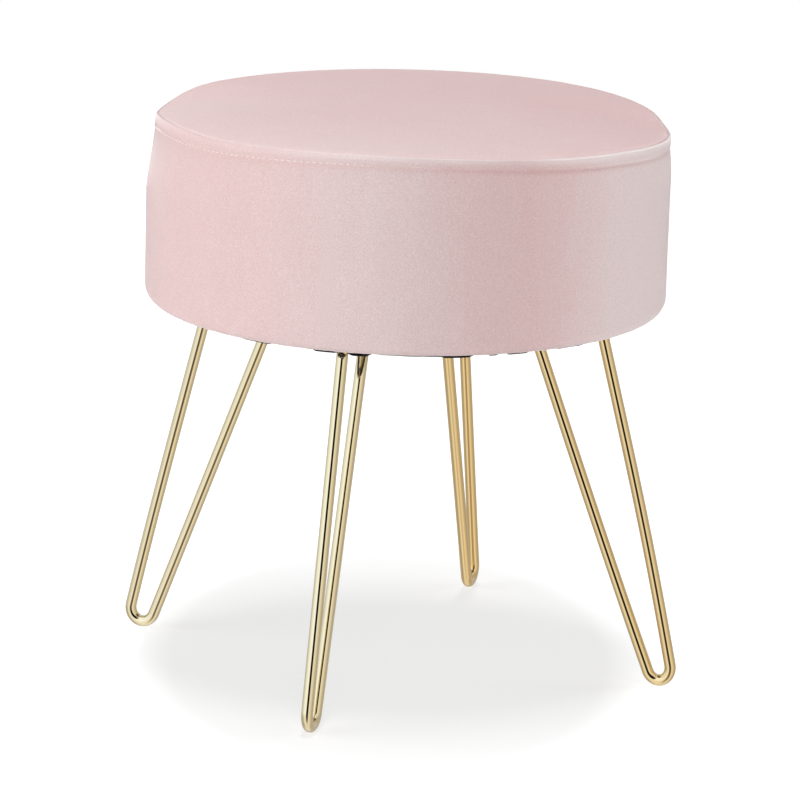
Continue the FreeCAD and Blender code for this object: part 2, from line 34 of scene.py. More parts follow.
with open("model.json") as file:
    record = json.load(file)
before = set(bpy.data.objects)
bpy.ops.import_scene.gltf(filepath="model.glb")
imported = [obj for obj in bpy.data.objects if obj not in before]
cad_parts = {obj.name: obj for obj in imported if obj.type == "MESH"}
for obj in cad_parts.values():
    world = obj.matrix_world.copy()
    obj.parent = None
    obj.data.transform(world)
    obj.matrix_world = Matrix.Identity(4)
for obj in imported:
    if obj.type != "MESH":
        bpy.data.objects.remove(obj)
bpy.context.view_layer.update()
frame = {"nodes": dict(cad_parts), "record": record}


# Sizes and heights read from the frame
side_low, side_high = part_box("side_cover")
top_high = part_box("top_cover")[1]
board_low, board_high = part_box("base_board")
seat_board_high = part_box("seat_board")[1]
hoop_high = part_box("wall_hoop")[1]
cloth_low, cloth_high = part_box("dust_cover")
plate_low, plate_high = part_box("leg_plate_right")
leg_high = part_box("leg_right")[1]

SIDE_RADIUS = side_high[0]
HEM_HEIGHT = side_low[2]
RIM_HEIGHT = side_high[2]
CROWN_HEIGHT = top_high[2]
BOARD_RADIUS = board_high[0]
HOOP_RADIUS = hoop_high[0]
COVER_THICKNESS = 1.2 * MM

# The camera, as it stood for the photograph: it looks at a point on the stool's axis
VIEW_AZIMUTH = math.radians(16.62)
VIEW_ELEVATION = math.radians(13.73)
VIEW_ROLL = math.radians(1.626)
VIEW_DISTANCE = 3.2585
VIEW_HEIGHT = 0.1855
VIEW_SIDESTEP = -0.0013
LENS = 210.39
SENSOR = 36.0

# Drum shape round the stool. Each pair is degrees to the right of the side that faces the camera, and mm.
RIM_LIFT = [(-150, 0.3), (-135, 0.2), (-122, -0.4), (-105, -4.4), (-94, -4.2), (-76, 0.4), (-57, 0.5),
            (-46, 0.4), (-30, 1.6), (-12, 3.0), (6, 2.6), (22, 1.0), (40, -1.2), (55, -2.6), (70, -5.0),
            (88, -7.6), (98, -7.4), (110, -2.8), (135, 0.4), (180, 0.6)]
SHOULDER_DEPTH = [(-150, 32), (-90, 44), (-30, 34), (30, 26), (90, 12), (150, 24)]
SIDE_SWELL = [(-180, 0.0), (-90, 0.0), (0, 0.0), (60, 0.3), (88, 0.7), (120, 0.3)]
SHOULDER_DRAW = [(-150, 3.2), (-90, 5.3), (-30, 3.0), (30, 1.6), (90, 0.8), (150, 2.0)]
EDGE_ROUND = [(-150, 0.8), (-85, 0.7), (-30, 0.6), (0, 0.7), (30, 1.1), (60, 1.3), (88, 1.2), (120, 0.9)]
WELT_HEIGHT = [(-150, 7.5), (-62, 8.6), (-30, 6.9), (10, 6.3), (40, 7.6), (66, 8.6), (110, 8.0)]
CREASE = [(-150, 0.3), (-85, 0.10), (-40, 0.12), (0, 0.45), (40, 0.95), (80, 0.95), (120, 0.5)]
STITCH_RISE = [(-150, 0.35), (-85, 0.50), (-40, 0.42), (-22, 0.05), (-8, -0.35), (30, -0.60), (80, -0.60),
               (120, 0.10)]
RIM_DRAW = 1.3 * MM

ROUND_STEPS = 960
STITCH_COUNT = 240


def ring_value(keys, degrees):
    """A smooth value round the stool through keys of (degrees, value)."""
    degrees = (degrees + 180.0) % 360.0 - 180.0
    ordered = sorted(keys)
    count = len(ordered)
    after = next((index for index, key in enumerate(ordered) if key[0] > degrees), count)
    quad = []
    for step in (-2, -1, 0, 1):
        index = after + step
        turns = index // count
        angle, value = ordered[index % count]
        quad.append((angle + 360.0 * turns, value))
    (a0, v0), (a1, v1), (a2, v2), (a3, v3) = quad
    slope1 = (v2 - v0) / (a2 - a0)
    slope2 = (v3 - v1) / (a3 - a1)
    span = a2 - a1
    t = (degrees - a1) / span
    return ((2 * t ** 3 - 3 * t ** 2 + 1) * v1 + (t ** 3 - 2 * t ** 2 + t) * span * slope1
            + (-2 * t ** 3 + 3 * t ** 2) * v2 + (t ** 3 - t ** 2) * span * slope2)


def smooth(t):
    t = min(1.0, max(0.0, t))
    return t * t * (3 - 2 * t)


def mix(a, b, t):
    return a + (b - a) * t


def facing_degrees(azimuth):
    """Degrees to the right of the side that faces the camera, for an azimuth in radians from +X."""
    return math.degrees(azimuth + math.pi / 2 - VIEW_AZIMUTH)


def soft_noise(point, scale, seed):
    return noise.noise(Vector(point) * scale + Vector((seed * 7.31, seed * 3.17, seed * 5.77)))


class Station:
    """The drum's measures at one azimuth."""

    def __init__(self, azimuth):
        facing = facing_degrees(azimuth)
        self.azimuth = azimuth
        self.rim = RIM_HEIGHT + ring_value(RIM_LIFT, facing) * MM
        self.stitch = self.rim - ring_value(WELT_HEIGHT, facing) * MM
        self.depth = ring_value(SHOULDER_DEPTH, facing) * MM
        self.draw = ring_value(SHOULDER_DRAW, facing) * MM
        self.crease = ring_value(CREASE, facing) * MM
        self.round = ring_value(EDGE_ROUND, facing) * MM
        self.stitch_radius = SIDE_RADIUS - self.draw - self.crease
        self.rim_radius = SIDE_RADIUS - self.draw - RIM_DRAW

    def point(self, radius, height):
        return (radius * math.cos(self.azimuth), radius * math.sin(self.azimuth), height)


def round_stations():
    """The stations all round the drum, one for each column of a ring of vertices."""
    return [Station(2 * math.pi * column / ROUND_STEPS) for column in range(ROUND_STEPS)]


def stitch_phase(azimuth):
    """0 at a needle hole, 1 half way along a stitch."""
    turn = azimuth / (2 * math.pi) * STITCH_COUNT
    return abs(math.sin(math.pi * turn))


def new_object(name, vertices, faces, materials, smooth_shading=True):
    mesh = bpy.data.meshes.new(name)
    mesh.from_pydata(vertices, [], faces)
    mesh.validate()
    mesh.update()
    piece = bpy.data.objects.new(name, mesh)
    bpy.context.scene.collection.objects.link(piece)
    for material in materials:
        mesh.materials.append(material)
    if smooth_shading:
        mesh.polygons.foreach_set("use_smooth", [True] * len(mesh.polygons))
    return piece


def ring_faces(rows, columns, closed_rows=False):
    """Quads of a grid that closes round its columns, and round its rows too where closed_rows is true."""
    faces = []
    for row in range(rows if closed_rows else rows - 1):
        above = (row + 1) % rows
        for column in range(columns):
            beside = (column + 1) % columns
            faces.append((row * columns + column, row * columns + beside,
                          above * columns + beside, above * columns + column))
    return faces


def store_values(piece, **lists):
    """Keeps numbers on the mesh, one per vertex under each name, for a material to read."""
    for name, values in lists.items():
        attribute = piece.data.attributes.new(name, "FLOAT", "POINT")
        attribute.data.foreach_set("value", values)


# Materials


class NodeTree:
    """Short ways to add nodes to a tree and to join them."""

    def __init__(self, tree):
        self.tree = tree

    def node(self, kind, **settings):
        node = self.tree.nodes.new(kind)
        for key, value in settings.items():
            setattr(node, key, value)
        return node

    def join(self, source, target):
        self.tree.links.new(source, target)

    def place(self):
        return self.node("ShaderNodeTexCoord").outputs["Object"]

    def noise(self, scale, detail=2.0, roughness=0.5, vector=None, distortion=0.0):
        node = self.node("ShaderNodeTexNoise")
        node.inputs["Scale"].default_value = scale
        node.inputs["Detail"].default_value = detail
        node.inputs["Roughness"].default_value = roughness
        node.inputs["Distortion"].default_value = distortion
        self.join(vector or self.place(), node.inputs["Vector"])
        return node.outputs["Fac"]

    def stretched(self, scale):
        mapping = self.node("ShaderNodeMapping")
        mapping.inputs["Scale"].default_value = scale
        self.join(self.place(), mapping.inputs["Vector"])
        return mapping.outputs["Vector"]

    def ramp(self, value, stops):
        node = self.node("ShaderNodeValToRGB")
        while len(node.color_ramp.elements) < len(stops):
            node.color_ramp.elements.new(0.5)
        for element, (position, colour) in zip(node.color_ramp.elements, stops):
            element.position = position
            element.color = (*colour, 1.0)
        self.join(value, node.inputs["Fac"])
        return node.outputs["Color"]

    def span(self, value, low, high, to_low=0.0, to_high=1.0):
        node = self.node("ShaderNodeMapRange")
        for key, number in (("From Min", low), ("From Max", high), ("To Min", to_low), ("To Max", to_high)):
            node.inputs[key].default_value = number
        self.join(value, node.inputs["Value"])
        return node.outputs["Result"]

    def blend(self, factor, first, second, mode="MIX"):
        node = self.node("ShaderNodeMix", data_type="RGBA", blend_type=mode)
        for socket, value in ((node.inputs[0], factor), (node.inputs[6], first), (node.inputs[7], second)):
            if isinstance(value, bpy.types.NodeSocket):
                self.join(value, socket)
            elif isinstance(value, tuple):
                socket.default_value = (*value, 1.0)
            else:
                socket.default_value = value
        return node.outputs[2]

    def maths(self, operation, first, second=0.5):
        node = self.node("ShaderNodeMath", operation=operation)
        for socket, value in ((node.inputs[0], first), (node.inputs[1], second)):
            if isinstance(value, bpy.types.NodeSocket):
                self.join(value, socket)
            else:
                socket.default_value = value
        return node.outputs[0]

    def attribute(self, name):
        return self.node("ShaderNodeAttribute", attribute_name=name).outputs["Fac"]

    def bump(self, height, strength, distance, normal=None):
        node = self.node("ShaderNodeBump")
        node.inputs["Strength"].default_value = strength
        node.inputs["Distance"].default_value = distance
        self.join(height, node.inputs["Height"])
        if normal:
            self.join(normal, node.inputs["Normal"])
        return node.outputs["Normal"]


class Shader(NodeTree):
    """A new material and its node tree."""

    def __init__(self, name):
        self.material = bpy.data.materials.new(name)
        self.material.use_nodes = True
        super().__init__(self.material.node_tree)
        self.principled = self.tree.nodes["Principled BSDF"]
        self.output = self.tree.nodes["Material Output"]

    def set(self, **values):
        """Sets or joins the principled shader's sockets, and returns the finished material."""
        for key, value in values.items():
            socket = self.principled.inputs[key.replace("_", " ")]
            if isinstance(value, bpy.types.NodeSocket):
                self.join(value, socket)
            elif isinstance(value, tuple):
                socket.default_value = (*value, 1.0)
            else:
                socket.default_value = value
        return self.material


PINK_DEEP = (0.720, 0.470, 0.468)
PINK = (0.745, 0.560, 0.550)
PINK_PALE = (0.770, 0.655, 0.650)
PILE_LIGHT = (0.89, 0.80, 0.79)
PILE_DARK = (0.58, 0.38, 0.38)


def velvet():
    """Short pile in blush pink: brushed patches, fine grain, paler pile where the rim is worn with a painted
    highlight along it, and painted sheen and shade from the nap and lay.
    """
    shader = Shader("velvet")
    brushed = shader.noise(5.5, detail=3.0, roughness=0.45, vector=shader.stretched((1.0, 1.0, 0.55)),
                           distortion=0.4)
    streaks = shader.noise(60.0, detail=4.0, roughness=0.6, vector=shader.stretched((1.0, 1.0, 0.35)))
    # The nap picks a pink from deep to pale: partly the pile's own tone, partly painted sheen.
    nap = shader.maths("ADD", shader.attribute("nap"), shader.span(brushed, 0.3, 0.7, -0.10, 0.10))
    nap = shader.maths("ADD", nap, shader.span(streaks, 0.3, 0.7, -0.06, 0.06))
    tone = shader.ramp(nap, [(0.0, PINK_DEEP), (0.5, PINK), (1.0, PINK_PALE)])
    grain = shader.noise(1400.0, detail=2.0, roughness=0.6)
    tone = shader.blend(shader.span(grain, 0.30, 0.55, 0.40, 0.0), tone, PILE_DARK)
    tone = shader.blend(shader.span(grain, 0.50, 0.72, 0.0, 0.45), tone, PILE_LIGHT)
    # The lay scales the pile's brightness: painted light and shade, set round the stool.
    lay = shader.span(shader.attribute("lay"), 0.0, 1.0)
    tone = shader.blend(1.0, tone, shader.blend(lay, (0.84,) * 3, (1.16,) * 3), mode="MULTIPLY")
    # Paler pile where it is crushed and worn, and a painted highlight along the rim's top edge.
    crushed = shader.span(shader.noise(90.0, detail=5.0, roughness=0.65, distortion=0.6), 0.54, 0.66)
    worn = shader.maths("MULTIPLY", crushed, shader.attribute("crush"))
    worn = shader.maths("MAXIMUM", worn, shader.attribute("edge"))
    tone = shader.blend(worn, tone, PILE_LIGHT)
    pile = shader.bump(grain, 0.30, 0.0006)
    folds = shader.bump(brushed, 0.06, 0.004, normal=pile)
    return shader.set(Base_Color=tone, Roughness=0.86, Normal=folds, Sheen_Weight=0.50, Sheen_Roughness=0.40,
                      Sheen_Tint=(1.0, 0.96, 0.96), Specular_IOR_Level=0.15)


def thread():
    """Twisted sewing thread, a little paler than the pile."""
    shader = Shader("thread")
    twist = shader.node("ShaderNodeTexWave", wave_type="BANDS", bands_direction="DIAGONAL")
    twist.inputs["Scale"].default_value = 900.0
    shader.join(shader.place(), twist.inputs["Vector"])
    strand = twist.outputs["Fac"]
    tone = shader.blend(shader.span(strand, 0.0, 1.0, 0.0, 0.5), (0.97, 0.87, 0.84), (0.85, 0.72, 0.69))
    return shader.set(Base_Color=tone, Roughness=0.55, Normal=shader.bump(strand, 0.5, 0.0002),
                      Sheen_Weight=0.3)


def gold():
    """Polished gold-coloured plating over drawn steel rod. Two of the legs get a deeper gold, a painted
    reflection of the darker surroundings that they mirror.
    """
    shader = Shader("gold_plate")
    drift = shader.noise(9.0, detail=2.0)
    pale = shader.blend(shader.span(drift, 0.35, 0.65), (0.93, 0.795, 0.53), (0.91, 0.77, 0.48))
    tone = shader.blend(shader.attribute("deep_plating"), pale, (0.92, 0.68, 0.34))
    haze = shader.noise(38.0, detail=3.0)
    return shader.set(Base_Color=tone, Metallic=1.0, Roughness=shader.span(haze, 0.3, 0.7, 0.03, 0.06))


def black_cloth():
    """Black non-woven cloth with its rows of pressed dots and loose fibres."""
    shader = Shader("black_cloth")
    dots = shader.node("ShaderNodeTexVoronoi", feature="F1")
    dots.inputs["Scale"].default_value = 620.0
    dots.inputs["Randomness"].default_value = 0.15
    shader.join(shader.stretched((1.0, 1.0, 0.0)), dots.inputs["Vector"])
    pressed = shader.span(dots.outputs["Distance"], 0.12, 0.42)
    fibres = shader.noise(900.0, detail=4.0, roughness=0.7, distortion=1.5)
    tone = shader.blend(fibres, (0.010, 0.010, 0.011), (0.045, 0.044, 0.046))
    tone = shader.blend(shader.maths("MULTIPLY", pressed, 0.5), (0.012, 0.012, 0.013), tone)
    normal = shader.bump(fibres, 0.25, 0.0003, normal=shader.bump(pressed, 0.5, 0.0003))
    return shader.set(Base_Color=tone, Roughness=0.8, Normal=normal)


def wood(name, pale, dark, ring_scale):
    """Wood with growth rings, fine pores and a dull cut surface."""
    shader = Shader(name)
    rings = shader.node("ShaderNodeTexWave", wave_type="BANDS", bands_direction="X")
    rings.inputs["Scale"].default_value = ring_scale
    rings.inputs["Distortion"].default_value = 6.0
    rings.inputs["Detail"].default_value = 3.0
    shader.join(shader.stretched((1.0, 0.15, 1.0)), rings.inputs["Vector"])
    pores = shader.noise(700.0, detail=3.0, vector=shader.stretched((1.0, 0.08, 1.0)))
    tone = shader.blend(shader.span(rings.outputs["Fac"], 0.0, 1.0, 0.0, 0.8), pale, dark)
    tone = shader.blend(shader.span(pores, 0.45, 0.75, 0.0, 0.6), tone, dark)
    return shader.set(Base_Color=tone, Roughness=0.7, Normal=shader.bump(pores, 0.3, 0.0003))


def hardboard():
    """Brown pressed fibre board."""
    shader = Shader("hardboard")
    fibres = shader.noise(500.0, detail=5.0, roughness=0.75, distortion=0.8)
    tone = shader.ramp(fibres, [(0.3, (0.13, 0.07, 0.035)), (0.6, (0.26, 0.15, 0.08)),
                                (0.8, (0.36, 0.22, 0.12))])
    return shader.set(Base_Color=tone, Roughness=0.75, Normal=shader.bump(fibres, 0.3, 0.0003))


def foam():
    """Open-cell seat foam, darker in the hollows of its cells: painted shade."""
    shader = Shader("foam")
    cells = shader.node("ShaderNodeTexVoronoi", feature="F1")
    cells.inputs["Scale"].default_value = 900.0
    shader.join(shader.place(), cells.inputs["Vector"])
    depth = cells.outputs["Distance"]
    tone = shader.ramp(depth, [(0.0, (0.60, 0.55, 0.40)), (0.5, (0.86, 0.82, 0.68))])
    return shader.set(Base_Color=tone, Roughness=0.95, Normal=shader.bump(depth, 0.6, 0.0005))


def zinc():
    """Zinc-plated steel of screws, staples and nuts."""
    shader = Shader("zinc_steel")
    spangle = shader.noise(300.0, detail=3.0)
    tone = shader.blend(spangle, (0.50, 0.50, 0.49), (0.66, 0.66, 0.63))
    return shader.set(Base_Color=tone, Metallic=1.0, Roughness=shader.span(spangle, 0.3, 0.7, 0.25, 0.42))


MATERIALS = {
    "velvet": velvet(),
    "thread": thread(),
    "gold_plate": gold(),
    "black_cloth": black_cloth(),
    "plywood": wood("plywood", (0.66, 0.48, 0.29), (0.45, 0.29, 0.15), 45.0),
    "timber": wood("timber", (0.72, 0.53, 0.32), (0.52, 0.33, 0.17), 80.0),
    "hardboard": hardboard(),
    "foam": foam(),
    "zinc_steel": zinc(),
}
for entry in frame["record"]["subparts"]:
    mesh = frame["nodes"][entry["node"]].data
    mesh.materials.clear()
    mesh.materials.append(MATERIALS[entry["material_slot"]])


# Velvet side

FLAT_ROWS = 26
ROUND_ROWS = 8
SHOULDER_ROWS = 16
WELT_ROWS = 10
WELT_BULGE = 0.55 * MM
CREASE_REACH = 4 * MM
HEM_ROUND = SIDE_RADIUS - BOARD_RADIUS
HEM_FULLNESS = 0.76
HEM_INNER = 152.8 * MM
PLEAT_DEPTH = 0.45 * MM
EDGE_STEPS = 5
INSIDE_STEPS = 8
SWELL_FADE = 22 * MM
SLOW_SWAY = 0.35 * MM
QUICK_SWAY = 0.10 * MM


def side_profile(station):
    """Radius, height, and edge wear with its painted highlight, of the band at one azimuth: hem, bottom,
    side, shoulder, welt, inside.
    """
    rows = []
    pleat = PLEAT_DEPTH * soft_noise(station.point(1.0, 0.0), 26.0, 4)
    for step in range(4):
        t = step / 3
        rows.append((mix(HEM_INNER, BOARD_RADIUS, t), HEM_HEIGHT + pleat * (1 - 0.3 * t), 0.0))
    centre_height = HEM_HEIGHT + HEM_ROUND
    for step in range(1, ROUND_ROWS + 1):
        angle = math.pi / 2 * step / ROUND_ROWS
        fade = 1 - step / ROUND_ROWS
        rows.append((BOARD_RADIUS + HEM_ROUND * math.sin(angle) ** HEM_FULLNESS,
                     centre_height - HEM_ROUND * math.cos(angle) ** HEM_FULLNESS + pleat * fade * 0.7,
                     0.0))
    shoulder = station.stitch - station.depth
    for step in range(1, FLAT_ROWS + 1):
        rows.append((SIDE_RADIUS, mix(centre_height, shoulder, step / FLAT_ROWS), 0.0))
    pinch = 0.2 * station.crease * (1 - stitch_phase(station.azimuth))
    for step in range(1, SHOULDER_ROWS + 1):
        t = step / SHOULDER_ROWS
        radius = SIDE_RADIUS - station.draw * smooth(t) * 0.55 - station.draw * t * 0.45
        near = max(0.0, 1 - (1 - t) * station.depth / CREASE_REACH)
        rows.append((radius - (station.crease + pinch) * near ** 3, mix(shoulder, station.stitch, t), 0.0))
    crease_radius = rows[-1][0]
    band = station.rim - station.stitch
    top_round = station.round / band
    for step in range(1, WELT_ROWS + 1):
        t = step / WELT_ROWS * (1 - top_round)
        bulge = (station.crease + WELT_BULGE * math.sin(math.pi * min(1.0, t * 0.9)) ** 0.75) * smooth(t * 9)
        radius = mix(crease_radius, station.rim_radius, t) + bulge
        # The third value is edge wear and painted highlight, rising up the welt.
        rows.append((radius, station.stitch + band * t, smooth((t - 0.2) / 0.6) * 0.55))
    shelf_radius, shelf_height, _ = rows[-1]
    for step in range(1, EDGE_STEPS + 1):
        angle = math.pi / 2 * step / EDGE_STEPS
        rows.append((shelf_radius - station.round * (1 - math.cos(angle)),
                     shelf_height + station.round * math.sin(angle), 1.0 if step < EDGE_STEPS else 0.6))
    inner = HOOP_RADIUS + 0.2 * MM
    last_radius, last_height, _ = rows[-1]
    inner_height = last_height - 1.6 * MM
    rows.append((last_radius - 0.7 * MM, last_height - 0.5 * MM, 0.2))
    rows.append((inner, inner_height, 0.0))
    for step in range(1, INSIDE_STEPS + 1):
        rows.append((inner, mix(inner_height, centre_height, step / INSIDE_STEPS), 0.0))
    rows.append((BOARD_RADIUS, HEM_HEIGHT + COVER_THICKNESS, 0.0))
    rows.append((HEM_INNER, HEM_HEIGHT + COVER_THICKNESS, 0.0))
    return rows


# The pile round the side. Each pair is degrees to the right of the camera and a share: the nap from deep pink
# to pale, partly painted sheen;
# the lay from dark to bright, partly painted light and shade; how worn the edge is, with a painted highlight;
# and how much deeper the crease is in tone, painted shade.
SIDE_NAP = [(-170, 0.5), (-130, 0.5), (-95, 0.6), (-75, 0.5), (-45, 0.5), (-28, 0.6), (-5, 0.75), (14, 0.5),
            (28, 0.4), (40, 0.65), (50, 0.9), (68, 1.0), (90, 0.9), (120, 0.6), (145, 0.5)]
SIDE_LAY = [(-170, 0.5), (-95, 0.5), (-45, 0.5), (-5, 0.5), (14, 0.47), (24, 0.40), (40, 0.46), (60, 0.47),
            (90, 0.45), (120, 0.5)]
EDGE_WEAR = [(-150, 0.35), (-85, 0.30), (-45, 0.20), (-22, 0.65), (0, 0.85), (25, 0.90), (50, 1.0),
             (88, 1.0), (130, 0.6)]
CREASE_ROSE = [(-150, 0.1), (-60, 0.1), (-25, 0.25), (10, 0.35), (40, 0.45), (60, 0.3), (100, 0.2)]


def make_side():
    """The velvet band as one closed ring, from the hem up to the rim and back down inside."""
    stations = round_stations()
    profiles = [side_profile(station) for station in stations]
    rows = len(profiles[0])
    vertices, nap, lay, edge = [], [], [], []
    for row in range(rows):
        for station, profile in zip(stations, profiles):
            radius, height, wear = profile[row]
            facing = facing_degrees(station.azimuth)
            outside = 1.0 if radius > HOOP_RADIUS + 2 * MM else 0.0
            place = station.point(1.0, height * 4)
            sway = ring_value(SIDE_SWELL, facing) * MM * smooth((station.stitch - height) / SWELL_FADE)
            sway += SLOW_SWAY * soft_noise(place, 3.2, 1) + QUICK_SWAY * soft_noise(place, 12.0, 2)
            vertices.append(station.point(radius + sway * outside, height))
            # Painted shade: a deeper pink just below the stitched crease.
            below = max(0.0, 1 - abs(height - station.stitch + 1.5 * MM) / (3.0 * MM))
            nap.append(ring_value(SIDE_NAP, facing) - below * ring_value(CREASE_ROSE, facing))
            lay.append(ring_value(SIDE_LAY, facing))
            patchy = 0.75 + 0.6 * soft_noise(place, 9.0, 8)
            # Edge wear and painted highlight along the welt, patchy.
            edge.append(wear * ring_value(EDGE_WEAR, facing) * min(1.0, max(0.3, patchy)))
    piece = new_object("velvet_side", vertices, ring_faces(rows, ROUND_STEPS, True), [MATERIALS["velvet"]])
    store_values(piece, nap=nap, lay=lay, edge=edge, crush=[0.0] * len(vertices))
    return piece


# Velvet top

TOP_ROWS = 34
ROW_CROWDING = 1.35
CROWN_POWER = 2.6
CROWN_RIPPLE = 0.35 * MM
SEAM_STEP = 0.35 * MM
TOP_TURN = 0.8 * MM
TOP_TURN_DROP = 0.55 * MM
TOP_GAP = 0.5 * MM
INSIDE_GAP = 0.3 * MM
CRUSHED_FACING = math.radians(74)
# Pile values at the top's centre and on hidden faces; the nap and lay carry painted sheen and painted light.
TOP_CENTRE = {"nap": 0.2, "lay": 0.71, "edge": 0.0, "crush": 0.0}
TOP_HIDDEN = {"nap": 0.5, "lay": 0.5, "edge": 0.0, "crush": 0.0}


def make_top():
    """Crowned top: a closed form from the rim seam over the foam and down to the seat board."""
    stations = round_stations()
    rings = []
    pile = {"nap": [], "lay": [], "edge": [], "crush": []}
    for step in range(1, TOP_ROWS + 1):
        share = 1 - (1 - step / TOP_ROWS) ** ROW_CROWDING
        ring = []
        for station in stations:
            outer = station.rim_radius - TOP_GAP
            radius = outer * share
            edge_height = station.rim + SEAM_STEP
            height = edge_height + (CROWN_HEIGHT - edge_height) * (1 - share ** CROWN_POWER)
            height += CROWN_RIPPLE * soft_noise(station.point(radius, 0.0), 14.0, 3) * (1 - share ** 6)
            turn = max(0.0, 1 - (outer - radius) / TOP_TURN)
            height -= TOP_TURN_DROP * turn ** 2
            ring.append(station.point(radius, height))
            facing = math.radians(facing_degrees(station.azimuth))
            rim_wear = smooth((share - 0.93) / 0.07)
            ahead, aside = share * math.cos(facing), share * math.sin(facing)
            # Across the top the nap and lay are painted sheen and painted light: paler and brighter toward
            # the camera and at the rim, darker to the right.
            pile["nap"].append(0.18 + 0.32 * ahead - 0.16 * aside)
            pile["lay"].append(0.71 + 0.06 * ahead - 0.11 * aside + 0.15 * share ** 3)
            # Wear and a painted highlight at the very rim.
            pile["edge"].append(0.3 * smooth((share - 0.985) / 0.015))
            pile["crush"].append(rim_wear * smooth((math.cos(facing - CRUSHED_FACING) - 0.84) / 0.10))
        rings.append(ring)
    for radius_drop, height in ((0.9 * MM, -1.8 * MM), (2.6 * MM, -3.5 * MM)):
        rings.append([station.point(station.rim_radius - TOP_GAP - radius_drop, station.rim + height)
                      for station in stations])
    floor_height = seat_board_high[2] + 0.2 * MM
    rings.append([station.point(HOOP_RADIUS - INSIDE_GAP, station.rim - 8 * MM) for station in stations])
    rings.append([station.point(HOOP_RADIUS - INSIDE_GAP, floor_height) for station in stations])
    vertices = [(0.0, 0.0, CROWN_HEIGHT)]
    for ring in rings:
        vertices.extend(ring)
    vertices.append((0.0, 0.0, floor_height))
    faces = [(0, 1 + column, 1 + (column + 1) % ROUND_STEPS) for column in range(ROUND_STEPS)]
    faces += [tuple(1 + index for index in reversed(face)) for face in ring_faces(len(rings), ROUND_STEPS)]
    last = len(vertices) - 1
    start = last - ROUND_STEPS
    faces += [(last, start + (column + 1) % ROUND_STEPS, start + column) for column in range(ROUND_STEPS)]
    piece = new_object("velvet_top", vertices, faces, [MATERIALS["velvet"]])
    hidden = len(vertices) - 1 - len(pile["nap"])
    store_values(piece, **{name: [TOP_CENTRE[name]] + values + [TOP_HIDDEN[name]] * hidden
                           for name, values in pile.items()})
    return piece


# Topstitching

THREAD_RADIUS = 0.38 * MM
STITCH_FILL = 0.70
STITCH_SLICES = 7
STITCH_SIDES = 8
STITCH_SLANT = 0.12 * MM
HOLE_DEPTH = 0.3 * MM


def make_stitches():
    """One small arched thread per stitch, lying in the crease."""
    vertices, faces = [], []
    slices, sides = STITCH_SLICES, STITCH_SIDES
    pitch = 2 * math.pi / STITCH_COUNT
    for stitch in range(STITCH_COUNT):
        start = len(vertices)
        slant = STITCH_SLANT * math.sin(stitch * 12.9898)
        for cut in range(slices):
            t = cut / (slices - 1)
            azimuth = pitch * (stitch + 0.5 + (t - 0.5) * STITCH_FILL)
            station = Station(azimuth)
            arch = math.sin(math.pi * t)
            girth = THREAD_RADIUS * max(0.25, arch ** 0.35)
            rise = ring_value(STITCH_RISE, facing_degrees(azimuth)) * MM
            middle = station.stitch_radius - HOLE_DEPTH + (HOLE_DEPTH + rise) * arch
            for side in range(sides):
                angle = 2 * math.pi * side / sides
                height = station.stitch + girth * math.sin(angle) + slant * (t - 0.5) * 2
                vertices.append(station.point(middle + girth * math.cos(angle), height))
        for cut in range(slices - 1):
            for side in range(sides):
                a = start + cut * sides + side
                b = start + cut * sides + (side + 1) % sides
                faces.append((a, a + sides, b + sides, b))
        faces.append(tuple(start + side for side in range(sides)))
        faces.append(tuple(start + (slices - 1) * sides + side for side in reversed(range(sides))))
    return new_object("topstitching", vertices, faces, [MATERIALS["thread"]])


# Hairpin legs

ROD_RADIUS = 4.0 * MM
BEND_RADIUS = 10.1 * MM
ROD_SPACING = 50.9 * MM
ROD_SIDES = 40
STRAIGHT_STEPS = 24
BEND_STEPS = 32
PLATE_CLEARANCE = 0.02 * MM
WELD_RADIUS = 0.9 * MM
WELD_TURNS = 48
WELD_SIDES = 10
PLATE_MIDDLE = (plate_low[0] + plate_high[0]) / 2
PLATE_TOP = plate_high[2]
PLATE_UNDERSIDE = plate_low[2]
# Painted reflection: how much deeper gold the right and back legs are, for the darker surroundings they
# mirror.
DEEPER_PLATING = {"right": 0.75, "back": 1.0}
BEND_CENTRE = Vector((leg_high[0] - ROD_RADIUS - BEND_RADIUS, BEND_RADIUS + ROD_RADIUS))


def touch_point(end, side):
    """Where the straight rod from end meets the foot's bend, and the angle there."""
    away = end - BEND_CENTRE
    angle = math.atan2(away.y, away.x) + side * math.acos(BEND_RADIUS / away.length)
    return BEND_CENTRE + BEND_RADIUS * Vector((math.cos(angle), math.sin(angle))), angle


# How far each leg's rods are bent off the straight line toward the outside, at the foot and half way, in mm
OUTER_BOW = {"right": (-0.4, 1.5), "left": (-1.7, 0.0)}
INNER_BOW = {"right": (3.0, 0.0), "left": (0.4, 0.0)}


def bent(path, name):
    """The path with its two straight stretches bowed as the bending jig left them."""
    outer_foot, outer_half = OUTER_BOW.get(name, (0.0, 0.0))
    inner_foot, inner_half = INNER_BOW.get(name, (0.0, 0.0))
    straight = STRAIGHT_STEPS
    count = len(path)
    result = []
    for index, place in enumerate(path):
        if index < straight:
            t = index / straight
            shift = outer_foot * t ** 4 + outer_half * math.sin(math.pi * t ** 1.3)
        elif index < count - straight:
            shift = mix(outer_foot, inner_foot, smooth((index - straight) / (count - 2 * straight)))
        else:
            t = (count - 1 - index) / straight
            shift = inner_foot * t ** 2.5 + inner_half * math.sin(math.pi * t ** 1.3)
        result.append(place + Vector((shift * MM, 0.0)))
    return result


